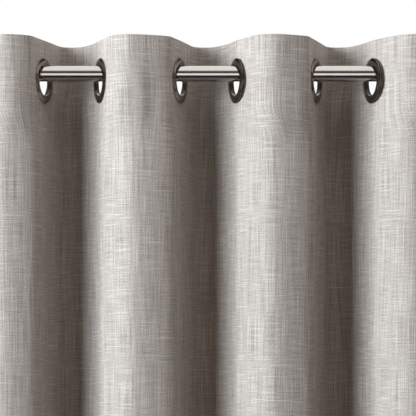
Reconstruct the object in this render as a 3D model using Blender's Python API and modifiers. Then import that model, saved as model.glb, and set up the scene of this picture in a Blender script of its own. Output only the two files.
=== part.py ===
"""A grommet-top curtain panel on an extending rod with two wall brackets. Metres, +Z up.

The wall is the plane y = 0 and the room is towards -Y. The rod's axis lies along X at z = 0,
and x = 0 is midway between the brackets. The panel hangs in folds that turn to the room and to
the wall by turns, and its two side edges turn to the wall.
"""

import math

import bmesh
import bpy
from mathutils import Matrix, Vector

COLLECTION = "grommet_curtain_on_rod"
CUTTERS = "cutters"
GAP = 0.0003  # left between pieces that touch

# The rod
ROD_RADIUS = 0.0111
TUBE_WALL = 0.0012
INNER_TUBE_WALL = 0.0010
ROD_TO_WALL = 0.105
ROD_OVERHANG = 0.027  # from each bracket's middle to the rod's end
EXTENSION = 0.762
LEAST_OVERLAP = 0.060  # of the two tubes when the rod is fully extended
INNER_TUBE_SHOWS = 0.0115  # past the end ring when the rod is at its shortest
END_RING_LENGTH = 0.003
PLUG_FLANGE = 0.003
PLUG_DEPTH = 0.015
TUBE_SIDES = 32

# The finials
STUD_RADIUS = 0.003
STUD_LENGTH = 0.012
FINIAL_COLLAR_RADIUS = 0.0125
FINIAL_COLLAR_LENGTH = 0.006
FINIAL_NECK_RADIUS = 0.007
FINIAL_NECK_LENGTH = 0.005
FINIAL_BALL_RADIUS = 0.019
FINIAL_SIDES = 24

# The brackets
BRACKET_CLEARANCE = 0.083  # from the outermost grommet's edge to a bracket's middle
PLATE_WIDTH = 0.036
PLATE_HEIGHT = 0.076
PLATE_THICKNESS = 0.003
PLATE_EDGE_ROUNDING = 0.0008
SCREW_SPACING = 0.054
ARM_RADIUS = 0.006
ARM_FOOT_RADIUS = 0.011
ARM_FOOT_LENGTH = 0.004
SPIGOT_RADIUS = 0.004
CRADLE_WALL = 0.003
CRADLE_WIDTH = 0.016
CRADLE_BACK_HEIGHT = 0.014
CRADLE_LIP_HEIGHT = 0.006
CRADLE_STEPS = 16
ARM_SIDES = 24

# The screws
WALL_SCREW_RADIUS = 0.0021
WALL_SCREW_IN_WALL = 0.030
WALL_SCREW_POINT = 0.006
SCREW_HEAD_RADIUS = 0.0042
SCREW_HEAD_HEIGHT = 0.0024
RECESS_LENGTH = 0.0046
RECESS_WIDTH = 0.0009
RECESS_DEPTH = 0.0013
RECESS_TURN = math.radians(10)
SCREW_SIDES = 16
THUMB_SCREW_RADIUS = 0.002
THUMB_HEAD_RADIUS = 0.006
THUMB_HEAD_HEIGHT = 0.005
THUMB_HEAD_DROP = 0.004  # from the cradle's underside to the head
THUMB_HEAD_FLUTES = 12
FLUTE_DEPTH = 0.0005

# The fabric
GROMMETS = 8
FLAT_SPACING = 0.175  # between grommets, along the flat fabric
FACE_ANGLE = math.radians(72)  # between the rod and the fabric at each grommet
FRONT_TURN = 1.476  # above 1, a fold's face is flat and its sides turn sharply
BACK_TURN = 0.284  # below 1, its sides are flat and its middle turns sharply
DROP = 2.134
FABRIC_THICKNESS = 0.0012
HEADING_HEIGHT = 0.110
GROMMET_BELOW_TOP = 0.0547
FOLD_STEPS = 14

# The grommets
GROMMET_BORE_RADIUS = 0.0211
GROMMET_OUTER_RADIUS = 0.03135
GROMMET_BARREL_WALL = 0.0009
GROMMET_FRONT_HEIGHT = 0.0024
GROMMET_BACK_HEIGHT = 0.0018
GROMMET_RIM_HEIGHT = 0.0008
STRIP_MARGIN = 0.00165  # from a grommet's edge to the edge of its heading strip
SIDE_MARGIN = 0.005  # how much further the fabric goes on at the panel's side edges
GROMMET_SIDES = 24

# Derived sizes and places
ROD_Y = -ROD_TO_WALL
BARREL_RADIUS = GROMMET_BORE_RADIUS + GROMMET_BARREL_WALL
FABRIC_HOLE_RADIUS = BARREL_RADIUS + GAP
STRIP_HALF_WIDTH = GROMMET_OUTER_RADIUS + STRIP_MARGIN
GROMMET_Z = ROD_RADIUS + GAP - GROMMET_BORE_RADIUS
FABRIC_TOP = GROMMET_Z + GROMMET_BELOW_TOP
HEADING_BOTTOM = FABRIC_TOP - HEADING_HEIGHT
FABRIC_BOTTOM = FABRIC_TOP - DROP
INNER_TUBE_RADIUS = ROD_RADIUS - TUBE_WALL - GAP
CRADLE_RADIUS = ROD_RADIUS + GAP
CRADLE_UNDERSIDE = -CRADLE_RADIUS - CRADLE_WALL
THUMB_HEAD_TOP = CRADLE_UNDERSIDE - THUMB_HEAD_DROP

# Colours
FABRIC = ((0.66, 0.63, 0.60), 0.0, 0.9)
NICKEL = ((0.36, 0.34, 0.33), 1.0, 0.25)
STEEL = ((0.45, 0.44, 0.43), 1.0, 0.35)
NYLON = ((0.10, 0.10, 0.10), 0.0, 0.5)

# Directions: a turned piece is drawn along local +Z and then laid along one of these
TO_RIGHT = Vector((1, 0, 0))
TO_LEFT = Vector((-1, 0, 0))
TO_WALL = Vector((0, 1, 0))
UP = Vector((0, 0, 1))


def clear_scene():
    for obj in list(bpy.data.objects):
        bpy.data.objects.remove(obj, do_unlink=True)


def add_collection(name):
    collection = bpy.data.collections.new(name)
    bpy.context.scene.collection.children.link(collection)
    return collection


def add_object(name, mesh, look):
    """A visible part with its own material. look is (colour, metallic, roughness)."""
    obj = bpy.data.objects.new(name, mesh)
    bpy.data.collections[COLLECTION].objects.link(obj)
    colour, metallic, roughness = look
    material = bpy.data.materials.new(name)
    material.use_nodes = True
    shader = material.node_tree.nodes["Principled BSDF"]
    shader.inputs["Base Color"].default_value = (*colour, 1)
    shader.inputs["Metallic"].default_value = metallic
    shader.inputs["Roughness"].default_value = roughness
    mesh.materials.append(material)
    return obj


def make_cutter(obj):
    """Takes a shape out of the model, to be used by a Boolean only."""
    for collection in list(obj.users_collection):
        collection.objects.unlink(obj)
    bpy.data.collections[CUTTERS].objects.link(obj)
    obj.hide_render = True
    obj.display_type = "WIRE"
    return obj


def boolean(obj, operation, other):
    modifier = obj.modifiers.new(operation.lower(), "BOOLEAN")
    modifier.operation = operation
    modifier.solver = "EXACT"
    modifier.object = other


def place(obj, location, direction=UP):
    """Lays the object's local +Z along direction, at location."""
    turn = direction.to_track_quat("Z", "Y").to_matrix().to_4x4()
    obj.matrix_world = Matrix.Translation(location) @ turn


def mesh_from(name, work):
    mesh = bpy.data.meshes.new(name)
    work.to_mesh(mesh)
    work.free()
    return mesh


def turned(name, profile, sides, look, is_ring=False):
    """A profile of (radius, height) points turned about local Z, from its top down its outer side."""
    work = bmesh.new()
    points = [work.verts.new((radius, 0, height)) for radius, height in profile]
    for first, second in zip(points, points[1:]):
        work.edges.new((first, second))
    if is_ring:
        work.edges.new((points[-1], points[0]))
    obj = add_object(name, mesh_from(name, work), look)
    screw = obj.modifiers.new("turn", "SCREW")
    screw.axis = "Z"
    screw.steps = sides
    screw.render_steps = sides
    screw.use_merge_vertices = True
    screw.merge_threshold = 0.00001
    screw.use_smooth_shade = False
    return obj


def box(name, size, look):
    work = bmesh.new()
    bmesh.ops.create_cube(work, size=1)
    bmesh.ops.scale(work, vec=size, verts=work.verts)
    return add_object(name, mesh_from(name, work), look)


def cylinder_cutter(name, radius, length, location, direction, sides):
    work = bmesh.new()
    bmesh.ops.create_cone(
        work, cap_ends=True, segments=sides, radius1=radius, radius2=radius, depth=length
    )
    cutter = make_cutter(add_object(name, mesh_from(name, work), STEEL))
    place(cutter, location, direction)
    return cutter


def extrude_down(work, face, depth):
    """Makes a face into a solid that reaches depth below it."""
    grown = bmesh.ops.extrude_face_region(work, geom=[face])
    moved = [item for item in grown["geom"] if isinstance(item, bmesh.types.BMVert)]
    bmesh.ops.translate(work, vec=(0, 0, -depth), verts=moved)
    bmesh.ops.recalc_face_normals(work, faces=work.faces)


def cross_cutter(name, reach, half_width):
    """A cross in the local XY plane, from RECESS_DEPTH below it to RECESS_DEPTH above."""
    corner = ((reach, -half_width), (reach, half_width), (half_width, half_width))
    work = bmesh.new()
    outline = []
    for quarter in range(4):
        turn = Matrix.Rotation(RECESS_TURN + quarter * math.pi / 2, 3, "Z")
        for x, y in corner:
            outline.append(work.verts.new(turn @ Vector((x, y, -RECESS_DEPTH))))
    face = work.faces.new(outline)
    extrude_down(work, face, -2 * RECESS_DEPTH)
    return make_cutter(add_object(name, mesh_from(name, work), STEEL))


def strip(name, path, low, high, thickness, look):
    """A sheet that follows path in the local XY plane, from low to high along local Z."""
    work = bmesh.new()
    bottom = [work.verts.new((x, y, low)) for x, y in path]
    top = [work.verts.new((x, y, high)) for x, y in path]
    for i in range(len(path) - 1):
        work.faces.new((bottom[i], bottom[i + 1], top[i + 1], top[i]))
    obj = add_object(name, mesh_from(name, work), look)
    solid = obj.modifiers.new("thickness", "SOLIDIFY")
    solid.thickness = thickness
    solid.offset = 0
    solid.use_even_offset = True
    return obj


# The fabric's plan


def turn_exponent(fold):
    """Folds 0, 2, 4... come to the front, and the others go to the back."""
    return BACK_TURN if fold % 2 else FRONT_TURN


def fold_direction(fold, u):
    """The fabric's direction in plan at u, which runs from -1 to 1 along a fold."""
    towards_wall = -1 if fold % 2 else 1
    angle = FACE_ANGLE * math.copysign(abs(u) ** turn_exponent(fold), u)
    return math.cos(angle), towards_wall * math.sin(angle)


def fold_plan(fold, start, clearance):
    """Points along a fold from its start, clearance short of the heading strip at each end."""
    arc = FLAT_SPACING - 2 * STRIP_HALF_WIDTH
    fine = 40
    steps = FOLD_STEPS * fine
    x, y = start
    points = [(x, y)]
    for i in range(steps):
        dx, dy = fold_direction(fold, (2 * i + 1) / steps - 1)
        x += dx * arc / steps
        y += dy * arc / steps
        points.append((x, y))
    margin = round(clearance / arc * steps)
    places = [margin + round(i * (steps - 2 * margin) / FOLD_STEPS) for i in range(FOLD_STEPS + 1)]
    return [points[i] for i in places], points[-1]


def heading_direction(grommet):
    """The fabric's direction in plan at a grommet, going from left to right."""
    return fold_direction(grommet, -1)


def grommet_positions():
    """Each grommet's x, with the row of them centred on x = 0."""
    across = STRIP_HALF_WIDTH * math.cos(FACE_ANGLE)
    positions = [0.0]
    for fold in range(GROMMETS - 1):
        end_of_fold = fold_plan(fold, (0, 0), GAP)[1]
        positions.append(positions[-1] + 2 * across + end_of_fold[0])
    middle = positions[-1] / 2
    return [x - middle for x in positions]


def strip_ends(grommet, x):
    """The two ends in plan of the flat strip that holds a grommet."""
    dx, dy = heading_direction(grommet)
    left = right = STRIP_HALF_WIDTH
    if grommet == 0:
        left += SIDE_MARGIN
    if grommet == GROMMETS - 1:
        right += SIDE_MARGIN
    return [(x - left * dx, ROD_Y - left * dy), (x + right * dx, ROD_Y + right * dy)]


def add_heading(grommet, x):
    number = grommet + 1
    plan = strip_ends(grommet, x)
    heading = strip(
        f"panel_header_{number}", plan, HEADING_BOTTOM, FABRIC_TOP, FABRIC_THICKNESS, FABRIC
    )
    dx, dy = heading_direction(grommet)
    hole = cylinder_cutter(
        f"heading_hole_{number}",
        FABRIC_HOLE_RADIUS,
        10 * FABRIC_THICKNESS,
        Vector((x, ROD_Y, GROMMET_Z)),
        Vector((dy, -dx, 0)),
        GROMMET_SIDES,
    )
    boolean(heading, "DIFFERENCE", hole)


def add_flank(grommet, x):
    strip(
        f"panel_flank_{grommet + 1}",
        strip_ends(grommet, x),
        FABRIC_BOTTOM,
        HEADING_BOTTOM - GAP,
        FABRIC_THICKNESS,
        FABRIC,
    )


def add_fold(fold, x):
    plan, _ = fold_plan(fold, strip_ends(fold, x)[1], GAP)
    strip(f"panel_fold_{fold + 1}", plan, FABRIC_BOTTOM, FABRIC_TOP, FABRIC_THICKNESS, FABRIC)


def add_grommet(grommet, x):
    """The front flange with its barrel, and the back washer, either side of the fabric."""
    number = grommet + 1
    dx, dy = heading_direction(grommet)
    towards_room = Vector((dy, -dx, 0))
    centre = Vector((x, ROD_Y, GROMMET_Z))
    face = FABRIC_THICKNESS / 2 + GAP
    rim = face + GROMMET_RIM_HEIGHT
    crown = face + GROMMET_FRONT_HEIGHT
    width = GROMMET_OUTER_RADIUS - GROMMET_BORE_RADIUS
    front_profile = [
        (GROMMET_BORE_RADIUS + 0.35 * width, crown),
        (GROMMET_BORE_RADIUS + 0.75 * width, crown - 0.2 * GROMMET_FRONT_HEIGHT),
        (GROMMET_OUTER_RADIUS, rim),
        (GROMMET_OUTER_RADIUS, face),
        (BARREL_RADIUS, face),
        (BARREL_RADIUS, -face - GROMMET_BACK_HEIGHT),
        (GROMMET_BORE_RADIUS, -face - GROMMET_BACK_HEIGHT),
        (GROMMET_BORE_RADIUS, crown - 0.3 * GROMMET_FRONT_HEIGHT),
    ]
    front = turned(f"grommet_{number}_front", front_profile, GROMMET_SIDES, NICKEL, is_ring=True)
    place(front, centre, towards_room)
    back_profile = [
        (BARREL_RADIUS + GAP, -face),
        (GROMMET_OUTER_RADIUS, -face),
        (GROMMET_OUTER_RADIUS, -face - GROMMET_RIM_HEIGHT),
        (GROMMET_BORE_RADIUS + 0.6 * width, -face - GROMMET_BACK_HEIGHT),
        (BARREL_RADIUS + GAP, -face - GROMMET_BACK_HEIGHT),
    ]
    back = turned(f"grommet_{number}_back", back_profile, GROMMET_SIDES, NICKEL, is_ring=True)
    place(back, centre, towards_room)


def add_panel(positions):
    for grommet, x in enumerate(positions):
        add_heading(grommet, x)
        add_flank(grommet, x)
        add_grommet(grommet, x)
        if grommet < GROMMETS - 1:
            add_fold(grommet, x)


# The rod


def tube_profile(outer, wall, length):
    """A tube's wall, from local z = 0 up to length."""
    inner = outer - wall
    return [(outer, length), (outer, 0), (inner, 0), (inner, length)]


def add_tube(name, outer, wall, start_x, end_x, look):
    tube = turned(
        name, tube_profile(outer, wall, end_x - start_x), TUBE_SIDES, look, is_ring=True
    )
    place(tube, Vector((start_x, ROD_Y, 0)), TO_RIGHT)


def add_end_plug(side, sleeve_radius, end_x, outwards):
    """A flange against the tube's end and a bored sleeve inside it. Local +Z points outwards."""
    bore = STUD_RADIUS + GAP
    profile = [
        (ROD_RADIUS, GAP + PLUG_FLANGE),
        (ROD_RADIUS, GAP),
        (sleeve_radius, GAP),
        (sleeve_radius, -PLUG_DEPTH),
        (bore, -PLUG_DEPTH),
        (bore, GAP + PLUG_FLANGE),
    ]
    plug = turned(f"rod_end_plug_{side}", profile, TUBE_SIDES, NYLON, is_ring=True)
    place(plug, Vector((end_x, ROD_Y, 0)), outwards)


def add_finial(side, end_x, outwards):
    """A ball on a neck and collar, with a stud that screws into the end plug."""
    seat = PLUG_FLANGE + 2 * GAP
    collar_end = seat + FINIAL_COLLAR_LENGTH
    neck_end = collar_end + FINIAL_NECK_LENGTH
    neck_meets_ball = math.asin(FINIAL_NECK_RADIUS / FINIAL_BALL_RADIUS)
    ball_centre = neck_end + FINIAL_BALL_RADIUS * math.cos(neck_meets_ball)
    rings = 10
    profile = []
    for i in range(rings + 1):
        angle = i * (math.pi - neck_meets_ball) / rings
        radius = FINIAL_BALL_RADIUS * math.sin(angle)
        profile.append((radius, ball_centre + FINIAL_BALL_RADIUS * math.cos(angle)))
    profile += [
        (FINIAL_NECK_RADIUS, collar_end),
        (FINIAL_COLLAR_RADIUS, collar_end),
        (FINIAL_COLLAR_RADIUS, seat),
        (STUD_RADIUS, seat),
        (STUD_RADIUS, seat - STUD_LENGTH),
        (0, seat - STUD_LENGTH),
    ]
    finial = turned(f"finial_{side}", profile, FINIAL_SIDES, NICKEL)
    place(finial, Vector((end_x, ROD_Y, 0)), outwards)


def add_rod(rod_end):
    ring_end = rod_end - INNER_TUBE_SHOWS
    outer_end = ring_end - END_RING_LENGTH - GAP
    inner_start = outer_end + GAP - LEAST_OVERLAP - EXTENSION
    add_tube("rod_outer_tube", ROD_RADIUS, TUBE_WALL, -rod_end, outer_end, NICKEL)
    add_tube("rod_inner_tube", INNER_TUBE_RADIUS, INNER_TUBE_WALL, inner_start, rod_end, NICKEL)
    add_tube("rod_end_ring", ROD_RADIUS, TUBE_WALL, outer_end + GAP, ring_end, NYLON)
    add_end_plug("left", INNER_TUBE_RADIUS, -rod_end, TO_LEFT)
    add_end_plug("right", INNER_TUBE_RADIUS - INNER_TUBE_WALL - GAP, rod_end, TO_RIGHT)
    add_finial("left", -rod_end, TO_LEFT)
    add_finial("right", rod_end, TO_RIGHT)


# The brackets


def add_plate(side, x):
    plate = box(f"bracket_plate_{side}", (PLATE_WIDTH, PLATE_THICKNESS, PLATE_HEIGHT), STEEL)
    middle = Vector((x, -PLATE_THICKNESS / 2, 0))
    plate.location = middle
    rounding = plate.modifiers.new("edges", "BEVEL")
    rounding.width = PLATE_EDGE_ROUNDING
    rounding.segments = 2
    holes = {
        "upper": (SCREW_SPACING / 2, WALL_SCREW_RADIUS + GAP, SCREW_SIDES),
        "lower": (-SCREW_SPACING / 2, WALL_SCREW_RADIUS + GAP, SCREW_SIDES),
        "arm": (0, SPIGOT_RADIUS + GAP, ARM_SIDES),
    }
    for which, (z, radius, sides) in holes.items():
        hole = cylinder_cutter(
            f"plate_hole_{side}_{which}",
            radius,
            4 * PLATE_THICKNESS,
            middle + Vector((0, 0, z)),
            TO_WALL,
            sides,
        )
        boolean(plate, "DIFFERENCE", hole)


def cradle_plan():
    """The cradle's middle line: down the front lip, under the rod and up the back."""
    radius = CRADLE_RADIUS + CRADLE_WALL / 2
    points = [(-radius, CRADLE_LIP_HEIGHT)]
    for i in range(CRADLE_STEPS + 1):
        angle = math.pi * (1 + i / CRADLE_STEPS)
        points.append((radius * math.cos(angle), radius * math.sin(angle)))
    return [*points, (radius, CRADLE_BACK_HEIGHT)]


def add_cradle(side, x):
    """The U that the rod lies in. Its local X, Y and Z lie along world Y, Z and X."""
    half = CRADLE_WIDTH / 2
    cradle = strip(f"cradle_{side}", cradle_plan(), -half, half, CRADLE_WALL, STEEL)
    axes = Matrix(((0, 0, 1), (1, 0, 0), (0, 1, 0))).to_4x4()
    cradle.matrix_world = Matrix.Translation((x, ROD_Y, 0)) @ axes
    return make_cutter(cradle)


def add_arm(side, x):
    """A foot on the plate, a round arm and the cradle, in one piece. Local +Z points to the room."""
    foot_start = PLATE_THICKNESS + GAP
    arm_end = ROD_TO_WALL - CRADLE_RADIUS - CRADLE_WALL / 2
    profile = [
        (0, arm_end),
        (ARM_RADIUS, arm_end),
        (ARM_RADIUS, foot_start + ARM_FOOT_LENGTH),
        (ARM_FOOT_RADIUS, foot_start + ARM_FOOT_LENGTH / 2),
        (ARM_FOOT_RADIUS, foot_start),
        (SPIGOT_RADIUS, foot_start),
        (SPIGOT_RADIUS, GAP),
        (0, GAP),
    ]
    arm = turned(f"bracket_arm_{side}", profile, ARM_SIDES, STEEL)
    place(arm, Vector((x, 0, 0)), -TO_WALL)
    boolean(arm, "UNION", add_cradle(side, x))
    tapped_hole = cylinder_cutter(
        f"tapped_hole_{side}",
        THUMB_SCREW_RADIUS + GAP,
        2 * CRADLE_WALL,
        Vector((x, ROD_Y, CRADLE_UNDERSIDE + CRADLE_WALL / 2)),
        UP,
        SCREW_SIDES,
    )
    boolean(arm, "DIFFERENCE", tapped_hole)


def add_thumb_screw(side, x):
    """A shank through the cradle's underside, just short of the rod, with a fluted head below."""
    tip = -ROD_RADIUS - 2 * GAP
    work = bmesh.new()
    rim = []
    for i in range(2 * THUMB_HEAD_FLUTES):
        radius = THUMB_HEAD_RADIUS - FLUTE_DEPTH * (i % 2)
        angle = math.pi * i / THUMB_HEAD_FLUTES
        x_on_rim = radius * math.cos(angle)
        y_on_rim = radius * math.sin(angle)
        rim.append(work.verts.new((x_on_rim, y_on_rim, THUMB_HEAD_TOP)))
    face = work.faces.new(reversed(rim))
    extrude_down(work, face, THUMB_HEAD_HEIGHT)
    screw = add_object(f"set_screw_{side}", mesh_from(f"set_screw_{side}", work), STEEL)
    screw.location = (x, ROD_Y, 0)
    shank_bottom = THUMB_HEAD_TOP - THUMB_HEAD_HEIGHT / 2
    shank = cylinder_cutter(
        f"set_screw_shank_{side}",
        THUMB_SCREW_RADIUS,
        tip - shank_bottom,
        Vector((x, ROD_Y, (tip + shank_bottom) / 2)),
        UP,
        SCREW_SIDES,
    )
    boolean(screw, "UNION", shank)


def add_wall_screw(side, which, x, z):
    """A pan head on the plate's face, and a pointed shank that goes into the wall."""
    seat = PLATE_THICKNESS + GAP
    top = seat + SCREW_HEAD_HEIGHT
    profile = [
        (0, top),
        (0.7 * SCREW_HEAD_RADIUS, top - 0.1 * SCREW_HEAD_HEIGHT),
        (SCREW_HEAD_RADIUS, seat + 0.4 * SCREW_HEAD_HEIGHT),
        (SCREW_HEAD_RADIUS, seat),
        (WALL_SCREW_RADIUS, seat),
        (WALL_SCREW_RADIUS, WALL_SCREW_POINT - WALL_SCREW_IN_WALL),
        (0, -WALL_SCREW_IN_WALL),
    ]
    screw = turned(f"wall_screw_{side}_{which}", profile, SCREW_SIDES, STEEL)
    place(screw, Vector((x, 0, z)), -TO_WALL)
    recess = cross_cutter(f"recess_{side}_{which}", RECESS_LENGTH / 2, RECESS_WIDTH / 2)
    place(recess, Vector((x, -top, z)), TO_WALL)
    boolean(screw, "DIFFERENCE", recess)


def add_bracket(side, x):
    add_plate(side, x)
    add_arm(side, x)
    add_thumb_screw(side, x)
    add_wall_screw(side, "upper", x, SCREW_SPACING / 2)
    add_wall_screw(side, "lower", x, -SCREW_SPACING / 2)


def main():
    clear_scene()
    add_collection(COLLECTION)
    add_collection(CUTTERS).hide_render = True
    positions = grommet_positions()
    grommet_reach = GROMMET_OUTER_RADIUS * math.cos(FACE_ANGLE)
    bracket_x = positions[-1] + grommet_reach + BRACKET_CLEARANCE
    add_panel(positions)
    add_rod(bracket_x + ROD_OVERHANG)
    add_bracket("left", -bracket_x)
    add_bracket("right", bracket_x)


main()
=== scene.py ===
"""The looks of the grommet curtain on its rod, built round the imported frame. Metres, +Z up.

The wall is the plane y = 0, the room is towards -Y and the rod's axis is z = 0. The panel is one
sheet, worked out over its flat size and split at the grommets' middles, where its pieces meet.
"""

import math

import bmesh
import bpy
import numpy as np
from mathutils import Matrix, Vector


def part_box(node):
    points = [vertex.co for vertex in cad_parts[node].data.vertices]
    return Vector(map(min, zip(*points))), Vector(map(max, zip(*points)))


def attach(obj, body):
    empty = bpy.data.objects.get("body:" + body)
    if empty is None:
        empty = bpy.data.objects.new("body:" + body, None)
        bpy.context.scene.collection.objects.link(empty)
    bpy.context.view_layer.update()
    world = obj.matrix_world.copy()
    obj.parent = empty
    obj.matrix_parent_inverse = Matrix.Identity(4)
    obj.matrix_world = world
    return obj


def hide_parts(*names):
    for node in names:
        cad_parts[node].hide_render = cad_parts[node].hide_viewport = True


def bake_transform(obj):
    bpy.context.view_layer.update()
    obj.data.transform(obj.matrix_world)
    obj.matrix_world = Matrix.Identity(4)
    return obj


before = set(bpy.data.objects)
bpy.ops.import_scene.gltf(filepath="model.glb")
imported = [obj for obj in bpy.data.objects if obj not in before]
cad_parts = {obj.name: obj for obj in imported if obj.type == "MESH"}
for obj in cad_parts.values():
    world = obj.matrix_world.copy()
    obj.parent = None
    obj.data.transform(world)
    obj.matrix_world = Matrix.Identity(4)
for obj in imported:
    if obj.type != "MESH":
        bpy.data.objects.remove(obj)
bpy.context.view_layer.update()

# ---------------------------------------------------------------- sizes read from the frame

rod_low, rod_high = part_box("rod_outer_tube")
ROD_RADIUS = (rod_high.z - rod_low.z) / 2
ROD_Y = (rod_high.y + rod_low.y) / 2
PANEL_LOW, PANEL_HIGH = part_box("panel_fold_1")
RISE = 0.0014  # how much higher the fabric hangs than the CAD panel
FABRIC_TOP = PANEL_HIGH.z + RISE
FABRIC_BOTTOM = PANEL_LOW.z + RISE
HEADING_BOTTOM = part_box("panel_header_1")[0].z
GROMMETS = sum(1 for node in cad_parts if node.startswith("panel_header_"))


def grommet_places():
    """Each grommet's x. The strips at the panel's two side edges reach further on one side."""
    low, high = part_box("panel_header_2")
    half = (high.x - low.x) / 2
    places = [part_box("panel_header_1")[1].x - half]
    for number in range(2, GROMMETS):
        low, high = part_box(f"panel_header_{number}")
        places.append((low.x + high.x) / 2)
    places.append(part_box(f"panel_header_{GROMMETS}")[0].x + half)
    return places


GROMMET_X = grommet_places()
grommet_low, grommet_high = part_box("grommet_1_front")
GROMMET_Z = (grommet_low.z + grommet_high.z) / 2
GROMMET_RADIUS = (grommet_high.z - grommet_low.z) / 2

# ---------------------------------------------------------------- the fabric

FLAT_SPACING = 0.175  # between grommets on the flat fabric
SIDE_REACH = 0.038  # from an end grommet to the panel's side edge
FACE_ANGLE = 72  # degrees between the rod and the fabric at a grommet
CLOTH = 0.0008
HEM_EXTRA = 0.0007
SIDE_HEM = 0.030
BOTTOM_HEM = 0.100
HOLE_RADIUS = 0.0235
HOLE_REACH = 0.038  # the grid is eased round a grommet's hole inside this radius
HOLE_START = 0.012
FOLD_COLUMNS = 44
SIDE_COLUMNS = 10

# The fabric's direction in plan, in degrees, at shares of the way from grommet to grommet.
# Minus is towards the room. A front fold starts towards the room and a back fold towards the wall.
FRONT_HEADING = ((0, -72), (0.19, -72), (0.25, -67), (0.31, -58), (0.37, -36), (0.42, -22),
                 (0.47, -2), (0.52, 15), (0.58, 18), (0.65, 21), (0.72, 28), (0.77, 38), (0.81, 72),
                 (1, 72))
FRONT_HANGING = ((0, -76), (0.10, -66), (0.20, -60), (0.30, -48), (0.37, -38), (0.43, -24),
                 (0.49, 1), (0.56, 9), (0.64, 16), (0.72, 20), (0.80, 36), (0.87, 72), (0.91, 86), (1, 82))
FRONT_PINCHED = ((0, -72), (0.19, -72), (0.25, -66), (0.31, -56), (0.37, -38), (0.42, -22),
                 (0.46, 4), (0.50, 11), (0.585, 13), (0.61, 39), (0.65, 38), (0.69, 24),
                 (0.76, 27), (0.81, 56), (0.84, 74), (1, 74))
BACK_HEADING = ((0, 72), (0.19, 72), (0.28, 76), (0.36, 62), (0.42, 12), (0.48, -4), (0.54, -36),
                (0.62, -58), (0.72, -64), (0.81, -72), (1, -72))
BACK_HANGING = ((0, 82), (0.12, 80), (0.24, 64), (0.34, 72), (0.42, 61), (0.48, 26), (0.54, -22),
                (0.62, -50), (0.72, -56), (0.84, -65), (1, -76))
FINE = 700  # steps that a fold's plan is worked out in
SMOOTHING = 10  # of those steps, over which its direction is eased
HEADING_TO_PINCHED = (0.035, -0.045)
PINCHED_TO_HANGING = (-0.050, -0.100)
LEVELS_FROM, LEVELS_TO = 0.040, -0.120  # heights between which the plans change
LEVELS = 24

# How far each fold's face is moved along the cloth, as a share: at the heading, below the rings
# and lower down. Only the knots between SHIFTED_FROM and SHIFTED_TO move. None passes SHIFT_END,
# and each keeps at least SHIFT_KEPT of its distance to it.
FOLD_SHIFTS = ((0.205, 0.010, -0.004, -0.006, 0.090, 0.010, 0.180),
               (0.225, 0.007, -0.060, -0.003, 0.130, 0.008, 0.185),
               (0.098, 0.007, -0.006, 0.000, 0.016, 0.007, 0.050))
SHIFTED_FROM, SHIFTED_TO = 0.22, 0.78
SHIFT_END = 0.81
SHIFT_KEPT = 0.35

SWAY = 0.010  # of the way across a fold, that its face wanders as it hangs
SWAY_RATE = 9.0  # radians a metre
SWAY_PHASE = 2.4  # radians from one fold to the next
SWAY_FROM, SWAY_TO = -0.05, -0.4  # heights over which it sets in

HEADING_ROW = 0.0055  # between the mesh's rows in the heading
BODY_ROW = 0.008  # between the rows below it, as far down as BODY_ROWS_END
BODY_ROWS_END = -0.50
LONG_ROWS = 90  # from there to the bottom hem
HEM_ROWS = 10
ABOVE_STEP, BELOW_STEP = 0.004, 0.006  # ordinary rows keep this far from the heading's end
HEM_CLEARANCE = 0.01  # and this far from the hem's top
STEP_REACH = 0.0004  # a step in thickness lies between two rows or columns this far from it
NORMAL_STEP = 0.0005
LAST_GROMMET = (GROMMETS - 1) * FLAT_SPACING  # its place on the flat sheet

STITCH = 0.0030
STITCH_GAP = 0.0011
STITCH_RADIUS = 0.00028
STITCH_INSET = 0.003
STITCH_SIDES = 6
STITCH_MARGIN = 0.002  # kept clear at the sheet's ends and round the rings
# A stitch's rings: share of its half length, share of its radius, radii above the cloth
STITCH_RINGS = ((-1, 0.4, -0.5), (-0.62, 1, 0.25), (0.62, 1, 0.25), (1, 0.4, -0.5))


def smoothstep(low, high, value):
    t = np.clip((value - low) / (high - low), 0, 1)
    return t * t * (3 - 2 * t)


def eased_direction(knots, shift):
    """The direction at each fine step of a fold, in radians."""
    at = np.array([share for share, _ in knots])
    inner = (at > SHIFTED_FROM) & (at < SHIFTED_TO)
    furthest = SHIFT_END - SHIFT_KEPT * (SHIFT_END - at)
    at = np.where(inner, np.minimum(at + shift, furthest), at)
    angle = np.interp(np.linspace(0, 1, FINE), at, [degrees for _, degrees in knots])
    reach = 3 * SMOOTHING
    window = np.exp(-0.5 * (np.arange(-reach, reach + 1) / SMOOTHING) ** 2)
    padded = np.pad(angle, reach, mode="edge")
    return np.radians(np.convolve(padded, window / window.sum(), "valid"))


def fold_directions(fold):
    """A fold's directions at the heading, where it is pinched below the rings, and lower down."""
    if fold % 2:
        knots = (BACK_HEADING, BACK_HANGING, BACK_HANGING)
    else:
        knots = (FRONT_HEADING, FRONT_PINCHED, FRONT_HANGING)
    return [eased_direction(k, FOLD_SHIFTS[i][fold]) for i, k in enumerate(knots)]


def fold_plan(fold, z):
    """The fold's (x, y) at each fine step at a height, from its first grommet to its second."""
    heading, pinched, hanging = fold_directions(fold)
    low, middle = smoothstep(*HEADING_TO_PINCHED, z), smoothstep(*PINCHED_TO_HANGING, z)
    angle = (heading * (1 - low) + pinched * low) * (1 - middle) + hanging * middle
    step = FLAT_SPACING / FINE
    x = np.concatenate([[0], np.cumsum(np.cos(angle) * step)])
    y = np.concatenate([[0], np.cumsum(np.sin(angle) * step)])
    span = GROMMET_X[fold + 1] - GROMMET_X[fold]
    x *= span / x[-1]
    y -= y[-1] * np.linspace(0, 1, FINE + 1)
    return GROMMET_X[fold] + x, ROD_Y + y


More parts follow.
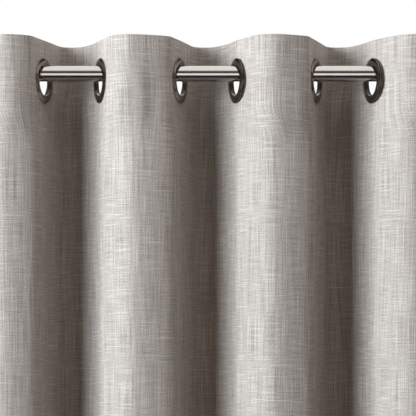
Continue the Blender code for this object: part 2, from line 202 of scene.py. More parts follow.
def plan_tables():
    """Plans of every fold at heights between the heading's top and where the folds run straight."""
    heights = np.linspace(LEVELS_FROM, LEVELS_TO, LEVELS + 1)
    return [[fold_plan(fold, z) for z in heights] for fold in range(GROMMETS - 1)]


PLANS = plan_tables()


def side_point(s, edge):
    """A point of the flap past an end grommet, which stays flat."""
    angle = math.radians(FACE_ANGLE)
    if edge < 0:
        return GROMMET_X[0] + s * math.cos(angle), ROD_Y - s * math.sin(angle)
    past = s - LAST_GROMMET
    return GROMMET_X[-1] + past * math.cos(angle), ROD_Y + past * math.sin(angle)


def surface(s, z):
    """The sheet's middle surface at flat places s (an array) and heights z (an array)."""
    s = np.asarray(s, float)
    z = np.asarray(z, float)
    x = np.zeros(s.shape)
    y = np.zeros(s.shape)
    level = np.clip((z - LEVELS_FROM) / (LEVELS_TO - LEVELS_FROM), 0, 1) * LEVELS
    low = np.clip(np.floor(level).astype(int), 0, LEVELS - 1)
    part = level - low
    places = np.linspace(0, 1, FINE + 1)
    for fold in range(GROMMETS - 1):
        inside = (s >= fold * FLAT_SPACING) & (s <= (fold + 1) * FLAT_SPACING)
        for k in range(LEVELS):
            here = inside & (low == k)
            if not here.any():
                continue
            share = s[here] / FLAT_SPACING - fold
            phase = z[here] * SWAY_RATE + SWAY_PHASE * fold
            sway = SWAY * np.sin(phase) * smoothstep(SWAY_FROM, SWAY_TO, z[here])
            share = share + sway * np.sin(np.pi * share) ** 2
            weight = part[here]
            for axis, out in ((0, x), (1, y)):
                first = np.interp(share, places, PLANS[fold][k][axis])
                second = np.interp(share, places, PLANS[fold][k + 1][axis])
                out[here] = first * (1 - weight) + second * weight
    left = s < 0
    x[left], y[left] = side_point(s[left], -1)
    right = s > LAST_GROMMET
    x[right], y[right] = side_point(s[right], 1)
    return np.stack([x, y, z], axis=-1)


def row_heights():
    """Rows close together at the heading and its steps, and wider further down."""
    hem_top = FABRIC_BOTTOM + BOTTOM_HEM
    rows = list(np.arange(FABRIC_TOP, HEADING_BOTTOM - ABOVE_STEP, -HEADING_ROW))
    rows += [HEADING_BOTTOM + STEP_REACH, HEADING_BOTTOM - STEP_REACH]
    rows += list(np.arange(HEADING_BOTTOM - BELOW_STEP, BODY_ROWS_END, -BODY_ROW))
    rows += list(np.linspace(BODY_ROWS_END, hem_top + HEM_CLEARANCE, LONG_ROWS))
    rows += [hem_top + STEP_REACH, hem_top - STEP_REACH]
    rows += list(np.linspace(hem_top - HEM_CLEARANCE, FABRIC_BOTTOM, HEM_ROWS))
    return np.array(sorted(set(np.round(rows, 5)), reverse=True))


ROWS = row_heights()


def ease_round_holes(s, z):
    """Moves grid points out from each grommet's middle, so that the hole's edge is round."""
    for number in range(GROMMETS):
        ds = s - number * FLAT_SPACING
        dz = z - GROMMET_Z
        radius = np.hypot(ds, dz)
        inside = (radius < HOLE_REACH) & (radius > 1e-9)
        slope = (HOLE_REACH - HOLE_RADIUS) / (HOLE_REACH - HOLE_START)
        eased = HOLE_RADIUS + (radius - HOLE_START) * slope
        factor = np.where(inside, np.maximum(eased, 0) / np.maximum(radius, 1e-9), 1)
        s = number * FLAT_SPACING + ds * factor
        z = GROMMET_Z + dz * factor
    return s, z


def in_hole(s, z):
    """True where a face's middle, before the easing, is inside a grommet's hole."""
    hit = np.zeros(s.shape, bool)
    for number in range(GROMMETS):
        hit |= np.hypot(s - number * FLAT_SPACING, z - GROMMET_Z) < HOLE_START
    return hit


def piece_columns(piece):
    """Flat places of a piece's columns. Piece 0 is the left flap and the last is the right one."""
    if 0 < piece < GROMMETS:
        return np.linspace((piece - 1) * FLAT_SPACING, piece * FLAT_SPACING, FOLD_COLUMNS + 1)
    if piece == 0:
        flap = np.linspace(-SIDE_REACH, 0, SIDE_COLUMNS + 1)
        hem = -SIDE_REACH + SIDE_HEM
    else:
        flap = np.linspace(LAST_GROMMET, LAST_GROMMET + SIDE_REACH, SIDE_COLUMNS + 1)
        hem = LAST_GROMMET + SIDE_REACH - SIDE_HEM
    return np.array(sorted([*flap, hem - STEP_REACH, hem + STEP_REACH]))


def hem_thickness(s, z):
    """How far the back face stands behind the middle surface: more at the heading and the hems."""
    heading = z > HEADING_BOTTOM
    hem = z < FABRIC_BOTTOM + BOTTOM_HEM
    side = (s < -SIDE_REACH + SIDE_HEM) | (s > LAST_GROMMET + SIDE_REACH - SIDE_HEM)
    return CLOTH / 2 + HEM_EXTRA * (heading | hem | side)


def surface_normals(s, z):
    """Unit normals that point to the fabric's face side."""
    across = surface(s + NORMAL_STEP, z) - surface(s - NORMAL_STEP, z)
    down = surface(s, z - NORMAL_STEP) - surface(s, z + NORMAL_STEP)
    n = np.cross(down, across)
    return n / np.linalg.norm(n, axis=-1, keepdims=True)


def stitch_lines():
    """Runs of sewing as (start, end, front side or not) in flat (s, z) places."""
    left, right = -SIDE_REACH, LAST_GROMMET + SIDE_REACH
    heading = HEADING_BOTTOM + STITCH_INSET
    hem = FABRIC_BOTTOM + BOTTOM_HEM - STITCH_INSET
    lines = [((left, heading), (right, heading), False)]
    for front in (False, True):
        lines.append(((left, hem), (right, hem), front))
        for s in (left + SIDE_HEM - STITCH_INSET, right - SIDE_HEM + STITCH_INSET):
            ends = ((s, FABRIC_TOP - STITCH_MARGIN), (s, FABRIC_BOTTOM + STITCH_MARGIN))
            lines.append((*ends, front))
    return lines


def stitch_places(low, high):
    """Middles and directions of the stitches whose s is between low and high."""
    found = []
    pitch = STITCH + STITCH_GAP
    for start, end, front in stitch_lines():
        length = math.hypot(end[0] - start[0], end[1] - start[1])
        unit = ((end[0] - start[0]) / length, (end[1] - start[1]) / length)
        for i in range(int(length / pitch)):
            at = (i + 0.5) * pitch
            s, z = start[0] + unit[0] * at, start[1] + unit[1] * at
            nearest = round(min(max(s / FLAT_SPACING, 0), GROMMETS - 1)) * FLAT_SPACING
            from_ring = math.hypot(s - nearest, z - GROMMET_Z)
            under_ring = from_ring < GROMMET_RADIUS + STITCH_MARGIN
            if low <= s < high and not under_ring:
                found.append((s, z, *unit, front))
    return np.array(found)


def stitch_points(places):
    """Points of every stitch, ring by ring."""
    s, z, ds, dz, front = places.T
    normal = surface_normals(s, z) * np.where(front > 0, 1, -1)[:, None]
    middle = surface(s, z)
    ahead = surface(s + ds * STITCH / 2, z + dz * STITCH / 2)
    behind = surface(s - ds * STITCH / 2, z - dz * STITCH / 2)
    along = ahead - behind
    along /= np.linalg.norm(along, axis=1, keepdims=True)
    side = np.cross(normal, along)
    height = np.where(front > 0, CLOTH / 2, CLOTH / 2 + HEM_EXTRA)[:, None]
    rings = []
    for share, scale, dip in STITCH_RINGS:
        base = middle + along * share * STITCH / 2 + normal * (height + dip * STITCH_RADIUS)
        reach = scale * STITCH_RADIUS
        ring = []
        for k in range(STITCH_SIDES):
            a = 2 * math.pi * k / STITCH_SIDES
            ring.append(base + reach * (math.cos(a) * side + math.sin(a) * normal))
        rings.append(np.stack(ring, 1))
    return np.stack(rings, 1).reshape(len(places), -1, 3)


def stitch_faces():
    """One stitch's faces: its sides, and a cap at each end."""
    n = STITCH_SIDES
    bands = len(STITCH_RINGS) - 1
    faces = []
    for r in range(bands):
        for k in range(n):
            m = (k + 1) % n
            faces.append((r * n + k, r * n + m, (r + 1) * n + m, (r + 1) * n + k))
    return faces + [tuple(reversed(range(n))), tuple(bands * n + k for k in range(n))]


def add_stitches(piece, verts, faces, flat):
    """Each stitch is a short thread that dips into the cloth at both ends."""
    columns = piece_columns(piece)
    places = stitch_places(columns[0] + STITCH / 2, columns[-1] - STITCH / 2)
    block = stitch_points(places)
    first, each = len(verts), block.shape[1]
    pattern = stitch_faces()
    for i in range(len(places)):
        faces += [tuple(first + i * each + v for v in face) for face in pattern]
    verts = np.concatenate([verts, block.reshape(-1, 3)])
    flat = np.concatenate([flat, np.repeat(places[:, :2], each, axis=0)])
    return verts, faces, flat


def shell_faces(keep):
    """Faces of the sheet's two sides, and of its rims wherever a kept face has no neighbour."""
    rows, cols = keep.shape[0] + 1, keep.shape[1] + 1
    count = rows * cols
    solid = np.pad(keep, 1)
    faces = []
    for i in range(rows - 1):
        for j in range(cols - 1):
            if not keep[i, j]:
                continue
            a, b = i * cols + j, i * cols + j + 1
            c, d = a + cols, b + cols
            faces += [(a, c, d, b), (a + count, b + count, d + count, c + count)]
            rims = ((solid[i, j + 1], (a, b, b + count, a + count)),
                    (solid[i + 2, j + 1], (c, c + count, d + count, d)),
                    (solid[i + 1, j], (a, a + count, c + count, c)),
                    (solid[i + 1, j + 2], (b, d, d + count, b + count)))
            faces += [rim for has_neighbour, rim in rims if not has_neighbour]
    return faces


def fabric_piece(piece):
    """A closed shell of cloth between two grommets, or past an end one, with its stitches."""
    s0, z0 = np.meshgrid(piece_columns(piece), ROWS)
    s, z = ease_round_holes(s0, z0)
    middle = surface(s, z)
    normal = surface_normals(s, z)
    face = middle + normal * CLOTH / 2
    back = middle - normal * hem_thickness(s0, z0)[..., None]
    verts = np.concatenate([face.reshape(-1, 3), back.reshape(-1, 3)])
    flat = np.concatenate([np.stack([s, z], -1).reshape(-1, 2)] * 2)
    middle_s = (s0[:-1, :-1] + s0[1:, 1:]) / 2
    middle_z = (z0[:-1, :-1] + z0[1:, 1:]) / 2
    faces = shell_faces(~in_hole(middle_s, middle_z))
    cloth_faces = len(faces)
    verts, faces, flat = add_stitches(piece, verts, faces, flat)
    cloth = mesh_object(f"curtain_{piece}", verts, faces, flat)
    cloth.data.materials.append(LINEN)
    cloth.data.materials.append(THREAD)
    index = np.zeros(len(cloth.data.polygons), int)
    index[cloth_faces:] = 1
    cloth.data.polygons.foreach_set("material_index", index)
    return cloth


def mesh_object(name, verts, faces, flat):
    mesh = bpy.data.meshes.new(name)
    mesh.from_pydata([tuple(v) for v in verts], [], faces)
    mesh.validate()
    layer = mesh.uv_layers.new(name="flat")
    index = np.zeros(len(mesh.loops), int)
    mesh.loops.foreach_get("vertex_index", index)
    layer.data.foreach_set("uv", flat[index].ravel().astype(np.float32))
    obj = bpy.data.objects.new(name, mesh)
    bpy.context.scene.collection.objects.link(obj)
    drop_loose(mesh)
    mesh.shade_smooth()
    mesh.set_sharp_from_angle(angle=math.radians(40))
    return obj


def drop_loose(mesh):
    work = bmesh.new()
    work.from_mesh(mesh)
    loose = [v for v in work.verts if not v.link_faces]
    bmesh.ops.delete(work, geom=loose, context="VERTS")
    work.to_mesh(mesh)
    work.free()


# ---------------------------------------------------------------- materials


class NodeTree:
    """A short way to write a node tree."""

    def __init__(self, tree):
        self.tree = tree

    def add(self, kind, inputs=None, **settings):
        node = self.tree.nodes.new(kind)
        for key, value in settings.items():
            setattr(node, key, value)
        for key, value in (inputs or {}).items():
            self.put(node.inputs[key], value)
        return node

    def put(self, socket, value):
        if isinstance(value, bpy.types.NodeSocket):
            self.tree.links.new(value, socket)
        else:
            socket.default_value = value

    def math(self, operation, a, b=0.0, c=0.0):
        node = self.add("ShaderNodeMath", operation=operation)
        for socket, value in zip(node.inputs, (a, b, c)):
            self.put(socket, value)
        return node.outputs[0]

    def noise(self, vector, scale, detail=2.0, roughness=0.5):
        node = self.add(
            "ShaderNodeTexNoise",
            {"Vector": vector, "Scale": scale, "Detail": detail, "Roughness": roughness},
        )
        return node.outputs["Fac"]

    def stretch(self, vector, scale, offset=(0, 0, 0)):
        node = self.add("ShaderNodeMapping", {"Vector": vector, "Scale": scale, "Location": offset})
        return node.outputs[0]

    def ramp(self, factor, stops, tint=(1, 1, 1)):
        node = self.add("ShaderNodeValToRGB", {"Fac": factor})
        elements = node.color_ramp.elements
        while len(elements) < len(stops):
            elements.new(0.5)
        for element, (place, value) in zip(elements, stops):
            element.position = place
            element.color = (*(value * share for share in tint), 1)
        return node.outputs[0]

    def bump(self, height, strength, distance):
        node = self.add(
            "ShaderNodeBump", {"Height": height, "Strength": strength, "Distance": distance}
        )
        return node.outputs[0]

    def tint(self, factor, dark, light):
        node = self.add("ShaderNodeMix", data_type="RGBA")
        self.put(node.inputs[0], factor)
        self.put(node.inputs[6], (*dark, 1))
        self.put(node.inputs[7], (*light, 1))
        return node.outputs[2]

    def eased(self, value, low, high, start=0.0, end=1.0):
        """Goes smoothly from start to end as the value goes from low to high."""
        ends = {"From Min": low, "From Max": high, "To Min": start, "To Max": end}
        settings = {"interpolation_type": "SMOOTHSTEP"}
        node = self.add("ShaderNodeMapRange", {"Value": value, **ends}, **settings)
        return node.outputs["Result"]

    def background(self, colour, strength):
        return self.add("ShaderNodeBackground", {0: colour, 1: strength}).outputs[0]

    def mix(self, factor, first, second):
        return self.add("ShaderNodeMixShader", {0: factor, 1: first, 2: second}).outputs[0]


class Nodes(NodeTree):
    """A material's node tree, round its Principled shader."""

    def __init__(self, name):
        self.material = bpy.data.materials.new(name)
        self.material.use_nodes = True
        super().__init__(self.material.node_tree)
        self.shader = self.tree.nodes["Principled BSDF"]

    def set(self, **values):
        for key, value in values.items():
            self.put(self.shader.inputs[key.replace("_", " ")], value)


LINEN_DARK = (0.224, 0.187, 0.157)
LINEN_LIGHT = (0.512, 0.448, 0.387)
WEAVE_MIDDLE = 1.75  # the weave's parts add up to about this
WEAVE_CONTRAST = 1.50


def linen():
    """An irregular plain weave: fine upright yarns, some thicker, crossed by sparse pale slubs."""
    n = Nodes("linen_weave")
    flat = n.add("ShaderNodeUVMap", uv_map="flat").outputs[0]
    fine_up = n.noise(n.stretch(flat, (1050, 15, 1)), 1.0, 1, 0.5)
    broad_up = n.noise(n.stretch(flat, (700, 10, 1), (3, 1, 0)), 1.0, 1, 0.6)
    wide_up = n.noise(n.stretch(flat, (150, 5, 1), (9, 4, 0)), 1.0, 1, 0.5)
    fine_across = n.noise(n.stretch(flat, (30, 760, 1), (5, 7, 0)), 1.0, 1, 0.5)
    slub_across = n.noise(n.stretch(flat, (16, 620, 1), (2, 8, 0)), 1.0, 1, 0.5)
    slub_up = n.noise(n.stretch(flat, (760, 13, 1), (12, 5, 0)), 1.0, 1, 0.5)
    thick_across = n.ramp(slub_across, ((0.62, 0), (0.74, 1)))
    thick_up = n.ramp(slub_up, ((0.64, 0), (0.76, 1)))
    slubs = n.math("ADD", thick_across, thick_up)
    grain = n.noise(n.stretch(flat, (680, 640, 1)), 1.0, 2, 0.6)
    up = n.math("MULTIPLY_ADD", broad_up, 0.65, n.math("MULTIPLY", fine_up, 0.8))
    up = n.math("MULTIPLY_ADD", wide_up, 0.15, up)
    across = n.math("MULTIPLY_ADD", fine_across, 0.62, n.math("MULTIPLY", slubs, 0.40))
    mixed = n.math("MULTIPLY_ADD", grain, 1.2, n.math("ADD", up, across))
    level = n.math("MULTIPLY_ADD", n.math("SUBTRACT", mixed, WEAVE_MIDDLE), WEAVE_CONTRAST, 0.5)
    colour = n.tint(level, LINEN_DARK, LINEN_LIGHT)
    n.set(Base_Color=colour, Roughness=0.92, Sheen_Weight=0.05, Sheen_Roughness=0.5)
    n.shader.inputs["Specular IOR Level"].default_value = 0.25
    n.set(Normal=n.bump(level, 0.08, 0.0006))
    return n.material


def dark_nickel(name, colour, roughness):
    """Plated metal with a faint mottle and fine scratches."""
    n = Nodes(name)
    place = n.add("ShaderNodeTexCoord").outputs["Object"]
    mottle = n.noise(place, 60, 3, 0.6)
    scratch = n.noise(n.stretch(place, (40, 900, 900)), 1.0, 2, 0.6)
    tone = n.math("MULTIPLY_ADD", scratch, 0.4, n.math("MULTIPLY", mottle, 0.6))
    dark = tuple(c * 0.9 for c in colour)
    light = tuple(min(1, c * 1.1) for c in colour)
    n.set(Base_Color=n.tint(tone, dark, light), Metallic=1.0)
    n.set(Roughness=n.math("MULTIPLY_ADD", tone, 0.10, roughness - 0.05))
    n.set(Normal=n.bump(scratch, 0.05, 0.0002))
    return n.material


def moulded(name, colour):
    """Moulded plastic with a fine grain."""
    n = Nodes(name)
    place = n.add("ShaderNodeTexCoord").outputs["Object"]
    grain = n.noise(place, 900, 2, 0.6)
    dark = tuple(c * 0.85 for c in colour)
    n.set(Base_Color=n.tint(grain, dark, colour))
    n.set(Roughness=n.math("MULTIPLY_ADD", grain, 0.15, 0.45))
    n.set(Normal=n.bump(grain, 0.1, 0.0002))
    return n.material


def thread():
    """Sewing thread with a fine twist."""
    n = Nodes("sewing_thread")
    place = n.add("ShaderNodeTexCoord").outputs["Object"]
    twist = n.noise(place, 2600, 2, 0.6)
    n.set(Base_Color=n.tint(twist, (0.40, 0.36, 0.32), (0.60, 0.55, 0.50)), Roughness=0.7)
    n.set(Normal=n.bump(twist, 0.3, 0.0002))
    return n.material


LINEN = linen()
THREAD = thread()
ROD_METAL = dark_nickel("rod_nickel_plate", (0.55, 0.515, 0.49), 0.16)
GROMMET_METAL = dark_nickel("grommet_nickel_plate", (0.33, 0.29, 0.265), 0.17)
STEEL = dark_nickel("bracket_plate_metal", (0.50, 0.48, 0.46), 0.30)
SCREW_STEEL = dark_nickel("screw_plate_metal", (0.45, 0.43, 0.41), 0.26)
NYLON = moulded("black_nylon", (0.05, 0.05, 0.05))


# ---------------------------------------------------------------- turned pieces


def lathe(name, profile, sides, material, is_ring=False):
    """Turns (radius, height) points about local Z. A ring's profile closes on itself."""
    points = np.array(profile, float)
    angles = np.linspace(0, 2 * math.pi, sides, endpoint=False)
    verts = []
    for radius, height in points:
        for a in angles:
            verts.append((radius * math.cos(a), radius * math.sin(a), height))
    faces = []
    count = len(points)
    for i in range(count if is_ring else count - 1):
        k = (i + 1) % count
        for j in range(sides):
            m = (j + 1) % sides
            faces.append((i * sides + j, k * sides + j, k * sides + m, i * sides + m))
    mesh = bpy.data.meshes.new(name)
    mesh.from_pydata(verts, [], faces)
    work = bmesh.new()
    work.from_mesh(mesh)
    bmesh.ops.remove_doubles(work, verts=work.verts, dist=1e-6)
    bmesh.ops.recalc_face_normals(work, faces=work.faces)
    work.to_mesh(mesh)
    work.free()
    mesh.shade_smooth()
    mesh.set_sharp_from_angle(angle=math.radians(35))
    mesh.materials.append(material)
    obj = bpy.data.objects.new(name, mesh)
    bpy.context.scene.collection.objects.link(obj)
    return obj


def lay(obj, location, direction):
    """Puts a turned piece at a place with its height running along a direction."""
    turn = Vector(direction).to_track_quat("Z", "Y").to_matrix().to_4x4()
    obj.matrix_world = Matrix.Translation(location) @ turn
    bpy.context.view_layer.update()
    return obj


def arc_points(centre, radius, start, end, steps):
    """Points on an arc in the profile plane, with angles in degrees."""
    out = []
    for i in range(steps + 1):
        a = math.radians(start + (end - start) * i / steps)
        out.append((centre[0] + radius * math.cos(a), centre[1] + radius * math.sin(a)))
    return out


BORE = 0.0211
FACE_GAP = 0.0009
FRONT_HEIGHT = 0.0026
BACK_HEIGHT = 0.0018
BARREL_WALL = 0.0009
CROWN_ROLL = 0.0011  # radius of the crown's roll at the bore
CROWN_STEPS = 8
CROWN_SWELL = 0.00055  # how far the crown bulges between its roll and its rim
RIM_ROUND = 0.0007
WASHER_ROUND = 0.0005
GROMMET_SIDES = 128


def front_profile():
    """A rolled crown from the bore out to a thin rim, and the barrel through the fabric."""
    outer = GROMMET_RADIUS
    top = FACE_GAP + FRONT_HEIGHT
    points = arc_points((BORE + CROWN_ROLL, top - CROWN_ROLL), CROWN_ROLL, 180, 75, 8)
    crown_end = (outer - 0.0012, FACE_GAP + 0.0011)
    start = points[-1]
    for i in range(1, CROWN_STEPS + 1):
        t = i / CROWN_STEPS
        x = start[0] + (crown_end[0] - start[0]) * t
        y = start[1] + (crown_end[1] - start[1]) * t + CROWN_SWELL * math.sin(math.pi * t)
        points.append((x, y))
    points += arc_points((outer - RIM_ROUND, FACE_GAP + 0.0005), RIM_ROUND, 70, -40, 5)
    barrel, barrel_end = BORE + BARREL_WALL, -FACE_GAP - BACK_HEIGHT
    points += [(outer - 0.0008, FACE_GAP - 0.0004), (barrel, FACE_GAP - 0.0002)]
    points += [(barrel, barrel_end)]
    lip = (BORE + BARREL_WALL / 2, barrel_end)
    return points + arc_points(lip, BARREL_WALL / 2, 0, -180, 4)[1:]


def back_profile():
    """A thin washer that fits round the barrel, with a rounded rim."""
    inner = BORE + BARREL_WALL + 0.0002
    outer = GROMMET_RADIUS - 0.0002
    low = -FACE_GAP - BACK_HEIGHT
    rim = (outer - WASHER_ROUND, -FACE_GAP - 0.0002)
    return [
        (inner, -FACE_GAP + 0.0003),
        (outer - WASHER_ROUND, -FACE_GAP + 0.0003),
        *arc_points(rim, WASHER_ROUND, 60, -70, 4),
        (BORE + 0.7 * (outer - BORE), low + 0.0004),
        (BORE + 0.45 * (outer - BORE), low),
        (inner + 0.0006, low),
        (inner, low + 0.0004),
    ]


def grommet(number):
    """A grommet's flange and washer, square to the fabric, which turns the other way at each."""
    toward = 1 if number % 2 == 0 else -1
    a = math.radians(FACE_ANGLE)
    normal = (toward * math.sin(a), -math.cos(a), 0)
    centre = (GROMMET_X[number - 1], ROD_Y, GROMMET_Z)
    for side, profile in (("front", front_profile()), ("back", back_profile())):
        ring = lathe(f"ring_{number}_{side}", profile, GROMMET_SIDES, GROMMET_METAL, is_ring=True)
        lay(ring, centre, normal)
        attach(ring, f"hanger_{number}")
        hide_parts(f"grommet_{number}_{side}")


# ---------------------------------------------------------------- the rod


TUBE_WALL = 0.0012
INNER_TUBE_WALL = 0.0010
INNER_TUBE_INSET = 0.0015  # how much smaller the inner tube's radius is
TUBE_STEPS = 24
TUBE_SIDES = 160
PLUG_FLANGE = 0.003
PLUG_BORE = 0.0034
PLUG_RIBS = 4
PLUG_SIDES = 96
GAP = 0.0003
NECK = 0.0070
COLLAR = 0.0125
COLLAR_ROUND = 0.0009
FOOT = 0.0420  # from the finial's tip to where its neck meets the collar
STUD = 0.0030
STUD_PITCH = 0.0010
THREAD_DEPTH = 0.0004
BALL_STEPS = 32
FINIAL_SIDES = 128


def along_x(obj, x, direction=1):
    """Lays a turned piece with its height running along X from x."""
    return lay(obj, (x, ROD_Y, 0), (direction, 0, 0))


def tube(node, wall, body, material, edge=0.0003):
    """A tube along the rod with eased ends, in place of the CAD node."""
    low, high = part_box(node)
    r = (high.z - low.z) / 2
    length = high.x - low.x
    inner = r - wall
    profile = [(r, edge), (r - edge, 0), (inner + edge, 0), (inner, edge)]
    straight = length - 2 * edge
    profile += [(inner, edge + straight * i / TUBE_STEPS) for i in range(1, TUBE_STEPS + 1)]
    profile += [(inner + edge, length), (r - edge, length)]
    profile += [(r, length - edge - straight * i / TUBE_STEPS) for i in range(TUBE_STEPS)]
    piece = lathe(node + "_fine", profile, TUBE_SIDES, material, is_ring=True)
    along_x(piece, low.x)
    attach(piece, body)
    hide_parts(node)


def end_plug(side):
    """A moulded plug whose ribbed shank sits in the tube and whose flange covers its end."""
    node = f"rod_end_plug_{side}"
    low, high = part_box(node)
    r = (high.z - low.z) / 2
    length = high.x - low.x
    left = side == "left"
    if left:
        shank = ROD_RADIUS - TUBE_WALL - GAP
    else:
        shank = ROD_RADIUS - INNER_TUBE_INSET - INNER_TUBE_WALL - GAP
    profile = [(PLUG_BORE, 0), (r - 0.0006, 0), (r, 0.0006), (r, PLUG_FLANGE - 0.0004),
               (r - 0.0004, PLUG_FLANGE), (shank - 0.0004, PLUG_FLANGE)]
    pitch = (length - PLUG_FLANGE - 0.002) / PLUG_RIBS
    for i in range(PLUG_RIBS):
        at = PLUG_FLANGE + 0.001 + i * pitch
        profile += [(shank - 0.0006, at), (shank, at + 0.4 * pitch), (shank, at + 0.7 * pitch),
                    (shank - 0.0006, at + 0.8 * pitch)]
    profile += [(shank - 0.001, length), (PLUG_BORE, length)]
    piece = lathe(node + "_fine", profile, PLUG_SIDES, NYLON, is_ring=True)
    along_x(piece, low.x if left else high.x, 1 if left else -1)
    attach(piece, "rod" if left else "rod_inner")
    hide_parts(node)


def ball_points(ball):
    """The finial's ball, from its tip round to the neck."""
    turn = 180 - math.degrees(math.asin(NECK / ball))
    points = [(0, 0)]
    for i in range(BALL_STEPS + 1):
        a = math.radians(turn * i / BALL_STEPS)
        points.append((ball * math.sin(a), ball - ball * math.cos(a)))
    return points


def collar_points(neck_from):
    """The neck, and the stepped collar with its rounded bead."""
    bead = (COLLAR - COLLAR_ROUND, FOOT + 0.0024)
    return [
        (NECK - 0.0004, neck_from + 0.0009),
        (NECK - 0.0004, FOOT - 0.0014),
        (NECK + 0.0006, FOOT),
        (COLLAR - 0.0022, FOOT + 0.0004),
        (COLLAR - COLLAR_ROUND, FOOT + 0.0010),
        *arc_points(bead, COLLAR_ROUND, -60, 60, 6),
        (COLLAR - 0.0015, FOOT + 0.0038),
        (COLLAR - 0.0007, FOOT + 0.0046),
        (COLLAR - 0.0007, FOOT + 0.0054),
        (COLLAR - 0.0013, FOOT + 0.0058),
        (STUD + 0.0001, FOOT + 0.0058),
    ]


def stud_points(length):
    """The threaded stud, to the finial's inner end."""
    points = []
    at = FOOT + 0.0062
    while at + STUD_PITCH < length - 0.0006:
        points += [(STUD - THREAD_DEPTH, at), (STUD, at + STUD_PITCH / 2)]
        at += STUD_PITCH
    return points + [(STUD - 0.0006, length), (0, length)]


def finial(side):
    """A ball on a short neck and a stepped collar, screwed into the rod's end on a stud."""
    node = f"finial_{side}"
    low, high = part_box(node)
    profile = ball_points((high.z - low.z) / 2)
    profile += collar_points(profile[-1][1])
    profile += stud_points(high.x - low.x)
    piece = lathe(node + "_fine", profile, FINIAL_SIDES, ROD_METAL)
    left = side == "left"
    along_x(piece, low.x if left else high.x, 1 if left else -1)
    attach(piece, node)
    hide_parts(node)


def dress(nodes, material):
    """Gives CAD nodes that keep their shape their material."""
    for node in nodes:
        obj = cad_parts[node]
        obj.data.materials.clear()
        obj.data.materials.append(material)


def add_hardware():
    tube("rod_outer_tube", TUBE_WALL, "rod", ROD_METAL)
    tube("rod_inner_tube", INNER_TUBE_WALL, "rod_inner", ROD_METAL)
    tube("rod_end_ring", TUBE_WALL, "rod", NYLON, edge=0.0004)
    for side in ("left", "right"):
        end_plug(side)
        finial(side)
        dress((f"bracket_plate_{side}", f"bracket_arm_{side}"), STEEL)
        screws = [f"wall_screw_{side}_{place}" for place in ("upper", "lower")]
        dress((f"set_screw_{side}", *screws), SCREW_STEEL)


# ---------------------------------------------------------------- scene


CAMERA_DISTANCE = 3.0  # from the rod
CAMERA_HEIGHT = -0.389  # it looks level from well below the rod
VIEW_WIDTH = 0.5772  # of the frame, at the rod
VIEW_MIDDLE = -0.1862  # height of the frame's middle, at the rod


def add_camera():
    data = bpy.data.cameras.new("camera")
    data.sensor_width = 36
    data.lens = data.sensor_width * CAMERA_DISTANCE / VIEW_WIDTH
    data.shift_y = (VIEW_MIDDLE - CAMERA_HEIGHT) / VIEW_WIDTH
    camera = bpy.data.objects.new("camera", data)
    bpy.context.scene.collection.objects.link(camera)
    camera.location = (0, ROD_Y - CAMERA_DISTANCE, CAMERA_HEIGHT)
    camera.rotation_euler = (math.radians(90), 0, 0)
    bpy.context.scene.camera = camera


KEY_AZIMUTH = 51.5  # degrees to the left of straight out from the wall
KEY_DISTANCE = 3.7
KEY_HEIGHT = 0.2
KEY_SIZE = (2.7, 2.2)
KEY_POWER = 290
KEY_COLOUR = (0.884, 1.014, 1.156)
OVERHEAD_HEIGHT = 1.0
OVERHEAD_FORWARD = 0.25  # into the room from the rod
OVERHEAD_SIZE = (3.2, 2.0)
OVERHEAD_POWER = 24
OVERHEAD_COLOUR = (0.95, 1.0, 1.12)
# The brightness that the metal mirrors, at sines of the height angle it comes from.
MIRRORED = ((-1, 0.20), (-0.95, 0.15), (-0.88, 0.06), (-0.74, 0.015), (-0.53, 0.04),
            (-0.44, 0.9), (-0.39, 1.5), (-0.06, 1.5), (0.01, 0.10), (0.48, 0.07),
            (0.58, 0.7), (0.68, 1.2), (0.82, 1.4), (1, 1.35))
MIRRORED_TINT = (1, 0.98, 0.96)
SLICE_FADE = (0.11, 0.24)  # sideways parts of a direction over which that brightness fades
SLICE_REST = 0.12  # the share of it that is left beyond them
BACKDROP_FADE = (0.0, 0.35)  # parts of a direction to the wall over which the backdrop sets in
BACKDROP_LIGHT = 1.6
ROOM_COLOUR = (1.0, 0.89, 0.84)
ROOM_LIGHT = 0.20
WHITE = (1, 1, 1, 1)
FLOOR_HALF_WIDTH = 6
FLOOR_BELOW = 0.03  # the fabric's bottom edge
FLOOR_GLOW = 0.38


def area_light(name, location, target, size, power, colour):
    """A rectangular light that falls on the object. The metal doesn't mirror it."""
    data = bpy.data.lights.new(name, "AREA")
    data.shape = "RECTANGLE"
    data.size, data.size_y = size
    data.energy = power
    data.color = colour
    light = bpy.data.objects.new(name, data)
    bpy.context.scene.collection.objects.link(light)
    light.location = location
    light.rotation_euler = (Vector(target) - Vector(location)).to_track_quat("-Z", "Y").to_euler()
    light.visible_camera = False
    light.visible_glossy = False


def mirrored_studio(n, direction):
    """What mirror rays see: bright overhead and just below level, dark between and further down.
    It is bright only in directions that hardly turn sideways, and dim in the others."""
    height = n.math("MULTIPLY_ADD", direction["Z"], 0.5, 0.5)
    stops = [(sine / 2 + 0.5, value) for sine, value in MIRRORED]
    sideways = n.math("ABSOLUTE", direction["X"])
    strength = n.eased(sideways, *SLICE_FADE, start=1.0, end=SLICE_REST)
    return n.background(n.ramp(height, stops, MIRRORED_TINT), strength)


def lit_room(n, direction):
    """What lights the fabric: a dim warm room, and a white backdrop on the wall's side."""
    room = n.background((*ROOM_COLOUR, 1), ROOM_LIGHT)
    backdrop = n.background(WHITE, BACKDROP_LIGHT)
    return n.mix(n.eased(direction["Y"], *BACKDROP_FADE), room, backdrop)


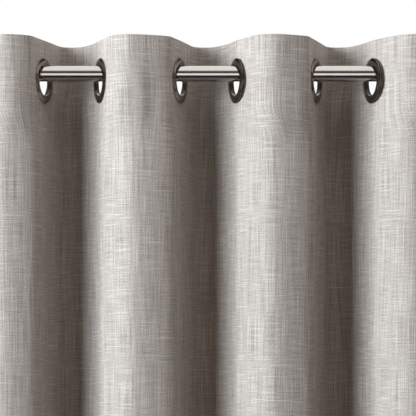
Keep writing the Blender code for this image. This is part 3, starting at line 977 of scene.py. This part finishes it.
def add_world():
    """Plain white to the camera, a room to the fabric and a painted studio to mirror rays."""
    world = bpy.data.worlds.new("studio")
    world.use_nodes = True
    n = NodeTree(world.node_tree)
    n.tree.nodes.clear()
    generated = n.add("ShaderNodeTexCoord").outputs["Generated"]
    direction = n.add("ShaderNodeSeparateXYZ", {0: generated}).outputs
    ray = n.add("ShaderNodeLightPath").outputs
    surroundings = n.mix(ray["Is Glossy Ray"], lit_room(n, direction), mirrored_studio(n, direction))
    seen = n.mix(ray["Is Camera Ray"], surroundings, n.background(WHITE, 1.0))
    n.add("ShaderNodeOutputWorld", {0: seen})
    bpy.context.scene.world = world


def add_floor():
    """A pale floor with a faint glow. No light bounces from it and nothing mirrors it."""
    work = bmesh.new()
    bmesh.ops.create_grid(work, x_segments=2, y_segments=2, size=FLOOR_HALF_WIDTH)
    mesh = bpy.data.meshes.new("floor")
    work.to_mesh(mesh)
    work.free()
    floor = bpy.data.objects.new("floor", mesh)
    bpy.context.scene.collection.objects.link(floor)
    floor.location = (0, ROD_Y, FABRIC_BOTTOM - FLOOR_BELOW)
    n = Nodes("pale_floor")
    n.set(Base_Color=(0.82, 0.81, 0.80, 1), Roughness=0.8)
    n.set(Emission_Color=(1.0, 0.99, 0.98, 1), Emission_Strength=FLOOR_GLOW)
    mesh.materials.append(n.material)
    floor.visible_glossy = False
    floor.visible_diffuse = False


def add_lights():
    """A large key light to the left in front of the rod, and a weaker one above it."""
    above = (0, ROD_Y - OVERHEAD_FORWARD, OVERHEAD_HEIGHT)
    below = (0, ROD_Y - OVERHEAD_FORWARD, 0)
    area_light("overhead", above, below, OVERHEAD_SIZE, OVERHEAD_POWER, OVERHEAD_COLOUR)
    azimuth = math.radians(KEY_AZIMUTH)
    left = KEY_DISTANCE * math.sin(azimuth)
    forward = KEY_DISTANCE * math.cos(azimuth)
    place = (-left, ROD_Y - forward, KEY_HEIGHT)
    area_light("key", place, (0, ROD_Y, KEY_HEIGHT), KEY_SIZE, KEY_POWER, KEY_COLOUR)


def add_studio():
    add_world()
    add_floor()
    add_lights()
    bpy.context.scene.view_settings.view_transform = "Standard"


def attach_fabric(cloth, piece):
    """Hangs an end flap on its grommet's body, leaves a middle piece in place, and hides the CAD nodes
    that the piece replaces.
    """
    if piece == 0:
        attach(cloth, "hanger_1")
    elif piece == GROMMETS:
        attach(cloth, f"hanger_{GROMMETS}")
    else:
        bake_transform(cloth)
    if piece > 0:
        replaced = [f"panel_header_{piece}", f"panel_flank_{piece}"]
        if piece < GROMMETS:
            replaced.append(f"panel_fold_{piece}")
        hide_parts(*replaced)


def add_panel():
    for piece in range(GROMMETS + 1):
        attach_fabric(fabric_piece(piece), piece)
    for number in range(1, GROMMETS + 1):
        grommet(number)


add_panel()
add_hardware()
add_camera()
add_studio()
